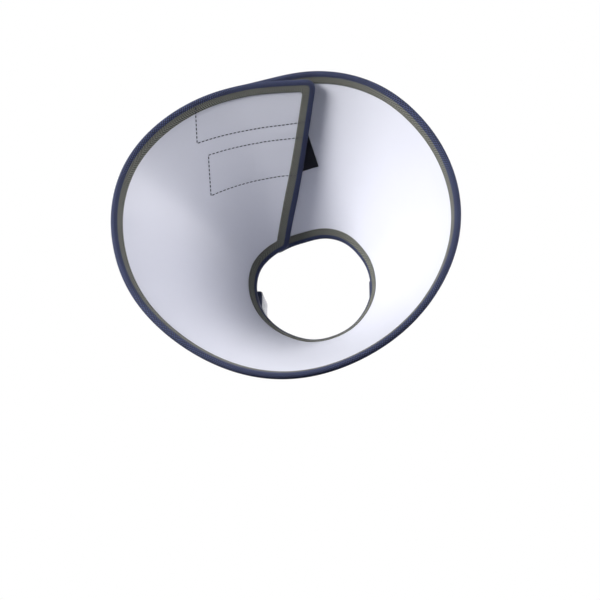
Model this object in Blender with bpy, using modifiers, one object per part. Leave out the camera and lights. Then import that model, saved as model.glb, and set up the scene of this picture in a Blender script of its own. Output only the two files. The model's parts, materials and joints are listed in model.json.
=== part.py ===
"""Soft elizabethan collar: a padded cone worn round a pet's neck.

One flat sheet of liner, foam and shell, cut as part of a ring, is rolled into a cone.
Its two ends overlap at the top, held by hook and loop strips between them, and a woven
tape folds over every edge. Webbing loops at the neck take the pet's own collar.

The neck opening's centre is the origin, the cone's axis is Y, and the mouth faces -Y.
A place on the wall is given by two values: the angle round the cone, from +X towards
+Z, which runs on past 360 degrees where the outer end lies over the inner flap, and the
slant distance from the cone's tip. Run with: blender --background --python part.py
"""
import math

import bmesh
import bpy
from mathutils import Matrix, Vector

# ---- Driving dimensions, metres and degrees ------------------------------------------

RIM_RADIUS = 0.175             # mouth of the cone, at the finished edge
NECK_RADIUS = 0.062            # neck opening, at the finished edge
HALF_ANGLE = math.radians(37)  # between the wall and the cone's axis

FOAM_THICKNESS = 0.0022
LINER_THICKNESS = 0.0005
SHELL_THICKNESS = 0.0006
TAPE_THICKNESS = 0.0008        # navy binding tape
FACING_THICKNESS = 0.0006      # grey tape on the inside, beside the binding
STRIP_THICKNESS = 0.0013       # hook strip, and loop strip
THREAD_THICKNESS = 0.0004
THREAD_WIDTH = 0.0008

GAP = 0.0003                   # between pieces that touch
SURFACE_GAP = 0.00045          # between the sheet and the tapes and strips on it
CLOSURE_GAP = 0.0005           # between the hook strips and the loop strips
STRIP_CLEARANCE = 0.0012       # between a strip and the tape beside it

BINDING_OUTER_LEG = 0.013      # from the finished edge, on the shell
BINDING_INNER_LEG = 0.0050     # from the finished edge, on the liner
FACING_WIDTH = 0.0074
CORNER_RADIUS = 0.010          # rounded corners of the two ends
LEAST_CORNER = 0.0030          # where an inner line turns the same corner

FLAP_END_RIM = 80.9            # the inner flap's end edge meets the rim here
FLAP_END_NECK = 118.0          # and the neck here
FLAP_HINGE = 155.0             # fold line where the flap joins the base
WING_HINGE = 315.0             # fold line between the base and the wing
END_HINGE = 430.0              # fold line where the outer end joins the wing
OUTER_END_RIM = 482.0          # the outer end's edge meets the rim here
OUTER_END_NECK = 494.0         # and the neck here

INNER_RAMP = (130.0, 154.0)    # the wall moves out from under the outer end here
OUTER_RAMP = (396.0, 440.0)    # and moves out over the flap here
FLAP_DRIFT = 0.0064            # the flap's end has slid this far towards the neck
FLAP_DRIFT_RAMP = (-106.0, -84.0)
OUTER_DRIFT = 0.0036           # and the outer end this far
OUTER_DRIFT_RAMP = (440.0, 490.0)

# The wall is pressed flat where it is double, and bulges on both sides of that.
FLATS = (                      # centre, half width and lean of each, degrees
    (100.1, 12.5, -0.52),
    (71.0, 32.7, 1.98),
    (142.8, 42.4, 4.74),
    (232.4, 27.6, -1.06),
)

STRIP_REFERENCE = 104.0        # the strips run square to the wall's line here
STRIP_WIDTH = 0.046            # one strip's width, between its long edges
STRIP_SPACING = 0.0108         # between the upper and the lower strip
UPPER_STRIP_DROP = 0.0058      # from the rim to the upper strip, at the reference
UPPER_STRIP_END = 0.0571       # the hook strips' slanted ends away from the flap's edge
LOWER_STRIP_END = 0.0615
STRIP_END_SLANT = 0.265        # their run out, for each metre down the wall
LOOP_START = -0.041            # the loop strips' ends away from the outer end's edge

SEAM_INSET = 0.0025            # from a strip's edge to its line of stitches

NECK_LOOP_ANGLES = (180.0, 270.0, 360.0)
LOOP_LENGTH = 0.034            # of the collar loops, along the pet's neck
LOOP_WIDTH = 0.020
LOOP_DEPTH = 0.0080            # across the loop, outside to outside
WEBBING_THICKNESS = 0.0014
LOOP_CLEARANCE = 0.0006        # between a loop and the neck binding
LOOP_TAB_LENGTH = 0.015        # the webbing's sewn end on the shell
HINGE_CLEARANCE = 0.0002       # from the tape's face to a fold line's axis

COLUMN = 4.0                   # degrees of wall to one facet
END_COLUMN = 3.0               # the same near the ends, where tape crosses the wall
STRIP_STEP = 0.010             # metres of strip to one facet
CORNER_STEPS = 3
FOLD_STEPS = 3
WALL_ROWS = 8                  # where the wall's facets don't run from the tip
LOOP_ROUND_STEPS = 8           # round each end of a collar loop
TAB_COLUMNS = 4
TAB_ROWS = 2
SMOOTH_ANGLE = math.radians(40)
TURN_STEP = 0.01               # degrees either side, where the wall's direction is taken

# ---- Values that follow from them ----------------------------------------------------

SIDE = math.sin(HALF_ANGLE)
RIM_SLANT = RIM_RADIUS / SIDE
NECK_SLANT = NECK_RADIUS / SIDE
TIP = Vector((0.0, NECK_SLANT * math.cos(HALF_ANGLE), 0.0))

LINER_OUT = -FOAM_THICKNESS / 2 - GAP            # the liner's face against the foam
LINER_IN = LINER_OUT - LINER_THICKNESS           # the liner's free face
SHELL_IN = FOAM_THICKNESS / 2 + GAP
SHELL_OUT = SHELL_IN + SHELL_THICKNESS
INNER_FACE = LINER_IN - SURFACE_GAP              # where pieces on the liner lie
OUTER_FACE = SHELL_OUT + SURFACE_GAP             # where pieces on the shell lie
HINGE_IN = INNER_FACE - TAPE_THICKNESS - HINGE_CLEARANCE
HINGE_OUT = OUTER_FACE + TAPE_THICKNESS + HINGE_CLEARANCE

FOLD_CENTRE = (INNER_FACE + OUTER_FACE) / 2
FOLD_RADIUS = (OUTER_FACE - INNER_FACE + TAPE_THICKNESS) / 2
SHEET_INSET = FOLD_RADIUS + TAPE_THICKNESS / 2   # from the finished edge to the sheet's
FACING_START = BINDING_INNER_LEG + GAP
FACING_END = FACING_START + FACING_WIDTH
STRIP_MARGIN = max(BINDING_OUTER_LEG, FACING_END) + STRIP_CLEARANCE

# The overlap holds the two strips between the flap's shell and the outer end's liner.
OVERLAP = (OUTER_FACE - INNER_FACE) + 2 * STRIP_THICKNESS + CLOSURE_GAP

# ---- Scene and small helpers ---------------------------------------------------------

for old in list(bpy.data.objects):
    bpy.data.objects.remove(old, do_unlink=True)

collar = bpy.data.collections.new("elizabethan_collar")
bpy.context.scene.collection.children.link(collar)


def material(name, colour, roughness, metallic=0.0):
    """A plain Principled material."""
    made = bpy.data.materials.new(name)
    made.use_nodes = True
    shader = made.node_tree.nodes["Principled BSDF"]
    shader.inputs["Base Color"].default_value = (*colour, 1.0)
    shader.inputs["Roughness"].default_value = roughness
    shader.inputs["Metallic"].default_value = metallic
    return made


LINER = material("wipe_clean_liner", (0.84, 0.85, 0.90), 0.45)
FOAM = material("foam", (0.72, 0.70, 0.62), 0.95)
SHELL = material("navy_shell", (0.030, 0.040, 0.120), 0.75)
TAPE = material("navy_binding_tape", (0.020, 0.026, 0.095), 0.85)
FACING = material("grey_facing_tape", (0.130, 0.135, 0.110), 0.90)
HOOK = material("hook_strip", (0.050, 0.055, 0.070), 0.60)
LOOP = material("loop_strip", (0.012, 0.013, 0.022), 0.98)
THREAD = material("navy_thread", (0.018, 0.022, 0.060), 0.70)
WEBBING = material("navy_webbing", (0.022, 0.028, 0.085), 0.80)


def smoothstep(value, low, high):
    """0 below low, 1 above high, and an even S between them."""
    share = min(max((value - low) / (high - low), 0.0), 1.0)
    return share * share * (3.0 - 2.0 * share)


def steps(low, high, count):
    """count + 1 even values from low to high."""
    return [low + (high - low) * index / count for index in range(count + 1)]


# ---- The wall's surface --------------------------------------------------------------

def generator(angle):
    """The way down the wall from the cone's tip, for one metre of slant. Its Y is the
    same all round, so the rim and the neck each lie in a plane."""
    lean = HALF_ANGLE
    for centre, width, height in FLATS:
        away = (angle - centre + 180.0) % 360.0 - 180.0
        lean += math.radians(height) * math.exp(-(away / width) ** 2)
    turn = math.radians(angle)
    down = math.cos(HALF_ANGLE)
    across = down * math.tan(lean)
    return Vector((across * math.cos(turn), -down, across * math.sin(turn)))


def outward(angle):
    """Unit normal of the wall, away from the axis."""
    turn = generator(angle + TURN_STEP) - generator(angle - TURN_STEP)
    return turn.cross(generator(angle)).normalized()


def ramp(angle):
    """How far the rolled sheet is moved out or in to pass over itself."""
    inner = smoothstep(angle, *INNER_RAMP) - 1.0
    outer = smoothstep(angle, *OUTER_RAMP)
    return (inner + outer) * OVERLAP / 2


def wall_point(angle, slant, height):
    """The point at a height above the middle of the wall, away from the axis."""
    slant -= FLAP_DRIFT * smoothstep(-angle, *FLAP_DRIFT_RAMP)
    slant -= OUTER_DRIFT * smoothstep(angle, *OUTER_DRIFT_RAMP)
    return TIP + generator(angle) * slant + outward(angle) * (height + ramp(angle))


# ---- The flat pattern ----------------------------------------------------------------
# Unrolled, the sheet is flat, and its ends, corners and strips are plain outlines. A
# pattern's point is (x, y) from the cone's tip, with y along the wall at its reference.

def pattern(angle, slant, reference):
    """The flat point at an angle and a slant."""
    turn = math.radians(angle - reference) * SIDE
    return Vector((slant * math.sin(turn), slant * math.cos(turn)))


def rolled(point, reference):
    """The angle and the slant of a flat point."""
    turn = math.atan2(point.x, point.y)
    return reference + math.degrees(turn) / SIDE, point.length


def wall_shares(count):
    """Shares of the way from the neck to the rim, closer together near the neck,
    where the wall is more tightly curved."""
    near, far = NECK_SLANT ** -0.5, RIM_SLANT ** -0.5
    return [(root ** -2 - NECK_SLANT) / (RIM_SLANT - NECK_SLANT)
            for root in steps(near, far, count)]


class Line:
    """An end edge on the flat pattern, with the sheet on one side of it."""

    def __init__(self, rim_angle, neck_angle, reference, inward):
        self.reference = reference
        self.rim = pattern(rim_angle, RIM_SLANT, reference)
        neck = pattern(neck_angle, NECK_SLANT, reference)
        self.along = (self.rim - neck).normalized()
        self.inward = Vector((self.along.y, -self.along.x)) * inward

    def across(self, inset, height):
        """How far across the pattern the line moved in by inset lies, at a height."""
        start = self.rim + self.inward * inset
        return start.x + self.along.x * (height - start.y) / self.along.y

    def meets(self, inset, radius):
        """Where the line moved in by inset meets a circle about the tip."""
        start = self.rim + self.inward * inset
        reach = start.dot(self.along)
        across = start - self.along * reach
        return across + self.along * math.sqrt(radius ** 2 - across.length_squared)


class Part:
    """One stiff part of the wall, between two lines; either may be a finished end."""

    def __init__(self, low, high, end=None, end_side=0):
        self.low = low
        self.high = high
        self.end = end
        self.end_side = end_side

    def arc(self, slant, low, high):
        """Points round the wall, with the hinge gap at each cut side."""
        gap = math.degrees(GAP / 2 / (slant * SIDE))
        first = low + (gap if self.end_side >= 0 else 0.0)
        last = high - (gap if self.end_side <= 0 else 0.0)
        count = round((self.high - self.low) / (END_COLUMN if self.end else COLUMN))
        return [(angle, slant) for angle in steps(first, last, count)]

    def side(self, inset, at_rim):
        """The rim's or the neck's line, moved in by inset, in order of angle."""
        slant = RIM_SLANT - inset if at_rim else NECK_SLANT + inset
        if self.end is None:
            return self.arc(slant, self.low, self.high)
        turn = max(CORNER_RADIUS - inset, LEAST_CORNER)
        middle_slant = slant - turn if at_rim else slant + turn
        centre = self.end.meets(inset + turn, middle_slant)
        start = centre.normalized() * (1.0 if at_rim else -1.0)
        finish = -self.end.inward
        corner = []
        sweep = start.angle_signed(finish)
        for share in steps(0.0, 1.0, CORNER_STEPS):
            spoke = Matrix.Rotation(-sweep * share, 2) @ start
            corner.append(rolled(centre + spoke * turn, self.end.reference))
        if self.end_side > 0:
            return self.arc(slant, self.low, corner[0][0])[:-1] + corner
        return corner[::-1] + self.arc(slant, corner[0][0], self.high)[1:]

    def rows(self, inset, count):
        """Lines from the neck to the rim that share their columns."""
        neck = self.side(inset, at_rim=False)
        rim = self.side(inset, at_rim=True)
        reference = self.end.reference if self.end else (self.low + self.high) / 2
        lines = []
        for share in wall_shares(count):
            line = []
            for low, high in zip(neck, rim):
                if self.end is None:
                    place = [a + (b - a) * share for a, b in zip(low, high)]
                else:
                    flat = pattern(*low, reference).lerp(pattern(*high, reference), share)
                    place = rolled(flat, reference)
                line.append(place)
            lines.append(line)
        return lines

    def edge(self, inset):
        """The line round rim, end and neck, for a part with a finished end."""
        rim = self.side(inset, at_rim=True)
        neck = self.side(inset, at_rim=False)
        if self.end_side < 0:
            rim, neck = rim[::-1], neck[::-1]
        reference = self.end.reference
        top = pattern(*rim[-1], reference)
        bottom = pattern(*neck[-1], reference)
        between = [rolled(bottom.lerp(top, share), reference)
                   for share in wall_shares(WALL_ROWS)[-2:0:-1]]
        line = rim + between + neck[::-1]
        return line if self.end_side > 0 else line[::-1]


AROUND = STRIP_REFERENCE + 360.0
FLAP_EDGE = Line(FLAP_END_RIM, FLAP_END_NECK, STRIP_REFERENCE, inward=1.0)
OUTER_EDGE = Line(OUTER_END_RIM, OUTER_END_NECK, AROUND, inward=-1.0)

PARTS = {
    "inner_flap": Part(FLAP_END_RIM, FLAP_HINGE, FLAP_EDGE, -1),
    "base": Part(FLAP_HINGE, WING_HINGE),
    "wing": Part(WING_HINGE, END_HINGE),
    "outer_end": Part(END_HINGE, OUTER_END_RIM, OUTER_EDGE, 1),
}

# ---- Building pieces -----------------------------------------------------------------

def add_object(name, mesh, look):
    """Links a new object and gives it its material."""
    made = bpy.data.objects.new(name, mesh)
    made.data.materials.append(look)
    collar.objects.link(made)
    return made


def soft_layer(name, lines, thickness, look, grow=1.0):
    """A sheet through lines of points, given its thickness on the side of its normal."""
    wide = len(lines[0])
    high = len(lines)
    mesh = bpy.data.meshes.new(name)
    grid = bmesh.new()
    bmesh.ops.create_grid(grid, x_segments=wide - 1, y_segments=high - 1, size=1.0)
    grid.verts.ensure_lookup_table()
    for index, corner in enumerate(grid.verts):
        corner.co = lines[index // wide][index % wide]
    grid.to_mesh(mesh)
    grid.free()
    mesh.shade_smooth()
    mesh.set_sharp_from_angle(angle=SMOOTH_ANGLE)
    made = add_object(name, mesh, look)
    shell = made.modifiers.new("thickness", "SOLIDIFY")
    shell.thickness = thickness
    shell.offset = grow
    shell.use_even_offset = True
    return made


def wall_layer(name, part, low, thickness, look):
    """One layer of the sheet: liner, foam or shell."""
    lines = [[wall_point(angle, slant, low) for angle, slant in line]
             for line in part.rows(SHEET_INSET, WALL_ROWS if part.end else 1)]
    return soft_layer(name, lines, thickness, look)


def fold_profile():
    """The binding's middle line: distance in from the edge, and height off the wall."""
    inner = FOLD_CENTRE - FOLD_RADIUS
    outer = FOLD_CENTRE + FOLD_RADIUS
    line = [(BINDING_INNER_LEG, inner)]
    for turn in steps(-math.pi / 2, math.pi / 2, FOLD_STEPS):
        inset = SHEET_INSET - FOLD_RADIUS * math.cos(turn)
        line.append((inset, FOLD_CENTRE + FOLD_RADIUS * math.sin(turn)))
    line[1] = (SHEET_INSET, inner)
    line.append((BINDING_OUTER_LEG, outer))
    return line


def bound_edge(name, route, look):
    """Binding tape folded over an edge; route gives the edge's line for an inset."""
    lines = [[wall_point(angle, slant, height) for angle, slant in route(inset)]
             for inset, height in fold_profile()]
    return soft_layer(name, lines, TAPE_THICKNESS, look, grow=0.0)


def facing(name, route, look):
    """The grey tape on the liner, beside the binding."""
    lines = [[wall_point(angle, slant, INNER_FACE) for angle, slant in route(inset)]
             for inset in (FACING_END, FACING_START)]
    return soft_layer(name, lines, FACING_THICKNESS, look, grow=-1.0)


class Strip:
    """A straight strip on the pattern, cut off along the rim's tape where it meets it."""

    def __init__(self, drop, near, far):
        self.top = RIM_SLANT - drop
        self.near = near
        self.far = far
        self.limit = RIM_SLANT - STRIP_MARGIN
        width = self.far(self.top) - self.near(self.top)
        self.columns = math.ceil(width / STRIP_STEP)

    def across(self, along, height, inset):
        """How far across the pattern a share of the strip's length lies, at a height."""
        near = self.near(height)
        return near + (self.far(height) - inset - near) * along

    def point(self, along, up, inset=0.0):
        """A point of the strip, its long edges and its far end moved in by inset."""
        bottom = self.top - STRIP_WIDTH + inset
        top = self.top - inset
        reach = self.across(along, top, inset)
        top = min(top, math.sqrt((self.limit - inset) ** 2 - reach ** 2))
        foot = Vector((self.across(along, bottom, inset), bottom))
        head = Vector((self.across(along, top, inset), top))
        return foot.lerp(head, up)

    def route(self, inset, with_top):
        """The line a seam follows: along the top if it has one, then round the rest."""
        across = steps(0.0, 1.0, self.columns)
        line = [(along, 1.0) for along in across[:-1]] if with_top else []
        line += [(1.0, 1.0 - down) for down in steps(0.0, 1.0, 2 * WALL_ROWS)]
        line += [(1.0 - along, 0.0) for along in across[1:]]
        return [self.point(along, up, inset) for along, up in line]


def strip(name, shape, reference, face, look, grow):
    """A straight strip laid on the wall."""
    lines = [[wall_point(*rolled(shape.point(along, up), reference), face)
              for along in steps(0.0, 1.0, shape.columns)]
             for up in steps(0.0, 1.0, WALL_ROWS)]
    return soft_layer(name, lines, STRIP_THICKNESS, look, grow)


def seam(name, shape, reference, face, grow, with_top):
    """The line of thread that holds a strip, on the sheet's other face."""
    lines = [[wall_point(*rolled(place, reference), face)
              for place in shape.route(inset, with_top)]
             for inset in (SEAM_INSET + THREAD_WIDTH / 2, SEAM_INSET - THREAD_WIDTH / 2)]
    return soft_layer(name, lines, THREAD_THICKNESS, THREAD, grow)


def neck_frame(angle):
    """Axes at the neck edge: across the loop, away from the axis, and along the neck."""
    turn = math.radians(angle)
    radial = Vector((math.cos(turn), 0.0, math.sin(turn)))
    back = Vector((0.0, 1.0, 0.0))
    return Matrix((back, radial, back.cross(radial))).transposed().to_4x4()


def stadium(spline_set, length, width):
    """A long round-ended outline whose near end is centred on the origin."""
    radius = width / 2
    points = []
    for centre, first in ((length - width, -90.0), (0.0, 90.0)):
        for turn in steps(first, first + 180.0, LOOP_ROUND_STEPS):
            spread = math.radians(turn)
            points.append((centre + radius * math.cos(spread), radius * math.sin(spread)))
    line = spline_set.new("POLY")
    line.points.add(len(points) - 1)
    line.use_cyclic_u = True
    for point, (along, across) in zip(line.points, points):
        point.co = (along, across, 0.0, 1.0)


def neck_loop(name, angle, look):
    """A webbing loop that swings on the neck edge; its origin is on the hinge."""
    outline = bpy.data.curves.new(name, "CURVE")
    outline.dimensions = "2D"
    outline.fill_mode = "BOTH"
    outline.extrude = LOOP_WIDTH / 2
    stadium(outline.splines, LOOP_LENGTH, LOOP_DEPTH)
    stadium(outline.splines, LOOP_LENGTH - 2 * WEBBING_THICKNESS,
            LOOP_DEPTH - 2 * WEBBING_THICKNESS)
    made = add_object(name, outline, look)
    hinge = wall_point(angle, NECK_SLANT, 0.0)
    hinge.y += LOOP_DEPTH / 2 + LOOP_CLEARANCE + FOLD_RADIUS * math.sin(HALF_ANGLE)
    made.matrix_world = Matrix.Translation(hinge) @ neck_frame(angle)
    return made


def loop_tab(name, angle, look):
    """The loop's sewn end, flat on the shell above the neck binding."""
    low = NECK_SLANT + BINDING_OUTER_LEG + GAP
    lines = []
    for slant in steps(low, low + LOOP_TAB_LENGTH, TAB_ROWS):
        half = math.degrees(LOOP_WIDTH / 2 / (slant * SIDE))
        lines.append([wall_point(turn, slant, OUTER_FACE)
                      for turn in steps(angle - half, angle + half, TAB_COLUMNS)])
    return soft_layer(name, lines, WEBBING_THICKNESS, look)


def hinge(name, angle, height):
    """An empty on a fold line's axis; what turns about the line becomes its child."""
    made = bpy.data.objects.new(name, None)
    made.location = wall_point(angle, NECK_SLANT, height)
    collar.objects.link(made)
    return made


def turns_with(piece, axis):
    """Hangs a piece on a hinge, where it already is."""
    piece.parent = axis
    piece.matrix_parent_inverse = axis.matrix_world.inverted()


# ---- The collar ----------------------------------------------------------------------

for part_name, wall in PARTS.items():
    wall_layer(part_name + "_liner", wall, LINER_IN, LINER_THICKNESS, LINER)
    wall_layer(part_name + "_foam", wall, -FOAM_THICKNESS / 2, FOAM_THICKNESS, FOAM)
    wall_layer(part_name + "_shell", wall, SHELL_IN, SHELL_THICKNESS, SHELL)
    if wall.end is None:
        for edge_name, at_rim in (("rim", True), ("neck", False)):
            def edge_line(inset, wall=wall, at_rim=at_rim):
                """The rim's or the neck's line, in the direction that faces the tape."""
                line = wall.side(inset, at_rim)
                return line if at_rim else line[::-1]
            bound_edge(part_name + "_" + edge_name + "_binding", edge_line, TAPE)
            facing(part_name + "_" + edge_name + "_facing", edge_line, FACING)
    else:
        bound_edge(part_name + "_binding", wall.edge, TAPE)
        facing(part_name + "_facing", wall.edge, FACING)

def hook_shape(drop, end):
    """A hook strip on the flap, from beside its edge's tape to a slanted end."""
    top = RIM_SLANT - drop
    return Strip(drop, lambda height: FLAP_EDGE.across(STRIP_MARGIN, height),
                 lambda height: end + STRIP_END_SLANT * (top - height))


def loop_shape(drop):
    """A loop strip on the outer end, up to its edge's tape."""
    return Strip(drop, lambda height: LOOP_START,
                 lambda height: OUTER_EDGE.across(STRIP_MARGIN, height))


LOWER_STRIP_DROP = UPPER_STRIP_DROP + STRIP_WIDTH + STRIP_SPACING
STRIPS = (
    ("upper", UPPER_STRIP_DROP, UPPER_STRIP_END, False),
    ("lower", LOWER_STRIP_DROP, LOWER_STRIP_END, True),
)
for level, drop, hook_end, with_top in STRIPS:
    hook = hook_shape(drop, hook_end)
    strip(level + "_hook_strip", hook, STRIP_REFERENCE, OUTER_FACE, HOOK, 1.0)
    seam(level + "_hook_thread", hook, STRIP_REFERENCE, INNER_FACE, -1.0, with_top)
    loop = loop_shape(drop)
    strip(level + "_loop_strip", loop, AROUND, INNER_FACE, LOOP, -1.0)
    seam(level + "_loop_thread", loop, AROUND, OUTER_FACE, 1.0, with_top)

for number, turn in enumerate(NECK_LOOP_ANGLES, start=1):
    neck_loop("neck_loop_" + str(number), turn, WEBBING)
    loop_tab("neck_loop_tab_" + str(number), turn, WEBBING)

HINGES = {
    "inner_flap": hinge("inner_flap_hinge", FLAP_HINGE, HINGE_IN),
    "wing": hinge("wing_hinge", WING_HINGE, HINGE_OUT),
    "outer_end": hinge("outer_end_hinge", END_HINGE, HINGE_OUT),
}
MOVED_BY = {"hook": "inner_flap", "loop": "outer_end"}
bpy.context.view_layer.update()
for piece in list(collar.objects):
    if piece.type == "EMPTY" or piece.name.startswith("neck_loop_"):
        continue
    mover = next((name for name in HINGES if piece.name.startswith(name)), None)
    if piece.name.startswith(("upper_", "lower_")):
        mover = MOVED_BY[piece.name.split("_")[1]]
    if mover:
        turns_with(piece, HINGES[mover])
turns_with(HINGES["outer_end"], HINGES["wing"])
last_tab = "neck_loop_tab_" + str(len(NECK_LOOP_ANGLES))
turns_with(collar.objects[last_tab], HINGES["wing"])
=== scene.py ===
"""The looks of a soft elizabethan collar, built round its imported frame.

The collar is one flat cut of liner, foam and shell, rolled into a cone whose two ends
overlap at the top. A navy twill tape is folded over every edge, with a grey tape beside
it on the inside, and hook and loop tapes are stitched between the two ends.

A place on the wall is an angle round the cone, from +X towards +Z and on past 360 where
the outer end lies over the inner flap, and a slant distance from the cone's tip.
"""

import json
import math

import bmesh
import bpy
from mathutils import Matrix, Vector


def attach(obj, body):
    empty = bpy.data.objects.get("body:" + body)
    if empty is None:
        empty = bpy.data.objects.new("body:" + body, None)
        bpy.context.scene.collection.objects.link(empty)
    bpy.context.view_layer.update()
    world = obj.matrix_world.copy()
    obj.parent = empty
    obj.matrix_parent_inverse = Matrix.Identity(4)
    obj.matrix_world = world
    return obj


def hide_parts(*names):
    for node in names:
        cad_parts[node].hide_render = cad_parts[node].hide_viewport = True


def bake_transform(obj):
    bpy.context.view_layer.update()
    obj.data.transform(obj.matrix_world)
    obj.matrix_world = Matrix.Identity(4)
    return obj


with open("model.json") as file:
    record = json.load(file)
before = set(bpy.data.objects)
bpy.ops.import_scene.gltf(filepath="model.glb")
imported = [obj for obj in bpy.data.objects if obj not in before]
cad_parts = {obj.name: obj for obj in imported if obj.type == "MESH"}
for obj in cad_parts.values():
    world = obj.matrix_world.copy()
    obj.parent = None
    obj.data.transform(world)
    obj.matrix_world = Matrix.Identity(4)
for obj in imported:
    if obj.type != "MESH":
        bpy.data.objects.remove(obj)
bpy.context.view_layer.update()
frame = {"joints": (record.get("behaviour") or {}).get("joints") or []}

# ---- Sizes, metres and degrees -------------------------------------------------------

RIM_RADIUS = 0.175
NECK_RADIUS = 0.062
HALF_ANGLE = math.radians(37)

FOAM_THICKNESS = 0.0022
LINER_THICKNESS = 0.0005
SHELL_THICKNESS = 0.0006
TAPE_THICKNESS = 0.0008
FACING_THICKNESS = 0.0006
STRIP_THICKNESS = 0.0013
GAP = 0.0003
SURFACE_GAP = 0.00045
CLOSURE_GAP = 0.0005
STRIP_CLEARANCE = 0.0012

BINDING_OUTER_LEG = 0.013
BINDING_INNER_LEG = 0.0050
FACING_WIDTH = 0.0074
CORNER_RADIUS = 0.010
LEAST_CORNER = 0.0030

FLAP_END_RIM, FLAP_END_NECK = 80.9, 118.0
FLAP_HINGE, WING_HINGE, END_HINGE = 155.0, 315.0, 430.0
OUTER_END_RIM, OUTER_END_NECK = 482.0, 494.0
INNER_RAMP = (130.0, 154.0)
OUTER_RAMP = (396.0, 440.0)
FLAP_DRIFT = 0.0064
FLAP_DRIFT_RAMP = (-106.0, -84.0)
OUTER_DRIFT = 0.0036
OUTER_DRIFT_RAMP = (440.0, 490.0)
FLATS = ((100.1, 12.5, -0.52), (71.0, 32.7, 1.98), (142.8, 42.4, 4.74),
         (232.4, 27.6, -1.06))

STRIP_REFERENCE = 104.0
STRIP_WIDTH = 0.046
STRIP_SPACING = 0.0108
UPPER_STRIP_DROP = 0.0058
UPPER_STRIP_END = 0.0571
LOWER_STRIP_END = 0.0615
STRIP_END_SLANT = 0.265
LOOP_START = -0.041
SEAM_INSET = 0.0025
SEAM_RIM_INSET = 0.0060        # a seam runs onto the rim's tape as far as this
SEAM_END_INSET = 0.0042        # and onto the flap's end tape as far as this

NECK_LOOP_ANGLES = (180.0, 270.0, 360.0)
LOOP_LENGTH = 0.034
LOOP_WIDTH = 0.020
LOOP_DEPTH = 0.0080
WEBBING_THICKNESS = 0.0014
LOOP_TAB_LENGTH = 0.015
TAB_SEAM_INSET = 0.0018        # the box of stitches, from the sewn end's ends
TAB_SEAM_SIDE_INSET = 0.0020   # and from its sides
WEBBING_SOFT_EDGE = 0.0004

COLUMN = 1.5                   # degrees of wall to one facet
END_COLUMN = 0.9
WALL_ROWS = 26
END_ROWS = 60
STRIP_ROWS = 16
LOOP_ROWS = 8
TAB_COLUMNS = 12
TAB_SEAM_STEPS = 5
ROUND_STEPS = 12
FLAT_STEPS = 4                 # across a tape's flat leg
CORNER_STEPS = 8
FOLD_STEPS = 9
STRIP_STEP = 0.004
SMOOTH_ANGLE = math.radians(40)

WAVE = 0.00035                 # how far the soft wall strays from a true cone
SEAM_DIP = 0.00030             # how far a seam pulls the liner in
DIP_WIDTH = 0.0024

STITCH = (0.0035, 0.00115, 0.00070)          # length, width and height of a strip's stitch
STITCH_PITCH = 0.0045
EDGE_STITCH = (0.0024, 0.00055, 0.00035)
EDGE_PITCH = 0.0034
EDGE_SEAM_INSET = 0.0011       # from the navy tape's edge to its line of stitches
FACING_SEAM_INSET = 0.0017     # and from the grey tape's edge to its own
CROSS_PITCH = 0.0029           # the stitches on a webbing loop's sewn end
STITCH_PROUD = 0.18            # the share of its height that lifts a stitch's middle

SIDE = math.sin(HALF_ANGLE)
RIM_SLANT = RIM_RADIUS / SIDE
NECK_SLANT = NECK_RADIUS / SIDE
MIDDLE_SLANT = (RIM_SLANT + NECK_SLANT) / 2
TIP = Vector((0.0, NECK_SLANT * math.cos(HALF_ANGLE), 0.0))

LINER_OUT = -FOAM_THICKNESS / 2 - GAP
LINER_IN = LINER_OUT - LINER_THICKNESS
SHELL_IN = FOAM_THICKNESS / 2 + GAP
SHELL_OUT = SHELL_IN + SHELL_THICKNESS
INNER_FACE = LINER_IN - SURFACE_GAP
OUTER_FACE = SHELL_OUT + SURFACE_GAP
FACING_FACE = INNER_FACE - FACING_THICKNESS
FOLD_CENTRE = (INNER_FACE + OUTER_FACE) / 2
FOLD_RADIUS = (OUTER_FACE - INNER_FACE + TAPE_THICKNESS) / 2
SHEET_INSET = FOLD_RADIUS + TAPE_THICKNESS / 2
FACING_END = BINDING_INNER_LEG + GAP + FACING_WIDTH
FACING_ROLL = 0.0010           # the grey tape's free edge turns down over this width
FACING_EDGE_SINK = 0.00005     # and ends this far under the liner's face
FACING_STEP = 0.0012           # a stitch climbs onto the tape over this width
STRIP_MARGIN = max(BINDING_OUTER_LEG, FACING_END) + STRIP_CLEARANCE
TAPE_MEETING = BINDING_INNER_LEG + 0.0004     # where the navy tape meets the grey one
OVERLAP = (OUTER_FACE - INNER_FACE) + 2 * STRIP_THICKNESS + CLOSURE_GAP
AROUND = STRIP_REFERENCE + 360.0
PATTERN_MIDDLE = 290.0         # the flat cut's own middle line


def smoothstep(value, low, high):
    """0 below low, 1 above high, and an even S between them."""
    share = min(max((value - low) / (high - low), 0.0), 1.0)
    return share * share * (3.0 - 2.0 * share)


def steps(low, high, count):
    """count + 1 even values from low to high."""
    return [low + (high - low) * index / count for index in range(count + 1)]


# ---- The wall ------------------------------------------------------------------------

def generator(angle):
    """The way down the wall from the cone's tip, for one metre of slant."""
    lean = HALF_ANGLE
    for centre, width, height in FLATS:
        away = (angle - centre + 180.0) % 360.0 - 180.0
        lean += math.radians(height) * math.exp(-(away / width) ** 2)
    turn = math.radians(angle)
    down = math.cos(HALF_ANGLE)
    across = down * math.tan(lean)
    return Vector((across * math.cos(turn), -down, across * math.sin(turn)))


def outward(angle):
    """Unit normal of the wall, away from the axis."""
    turn = generator(angle + 0.01) - generator(angle - 0.01)
    return turn.cross(generator(angle)).normalized()


def ramp(angle):
    """How far the rolled sheet is moved out or in to pass over itself."""
    inner = smoothstep(angle, *INNER_RAMP) - 1.0
    outer = smoothstep(angle, *OUTER_RAMP)
    return (inner + outer) * OVERLAP / 2


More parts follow.
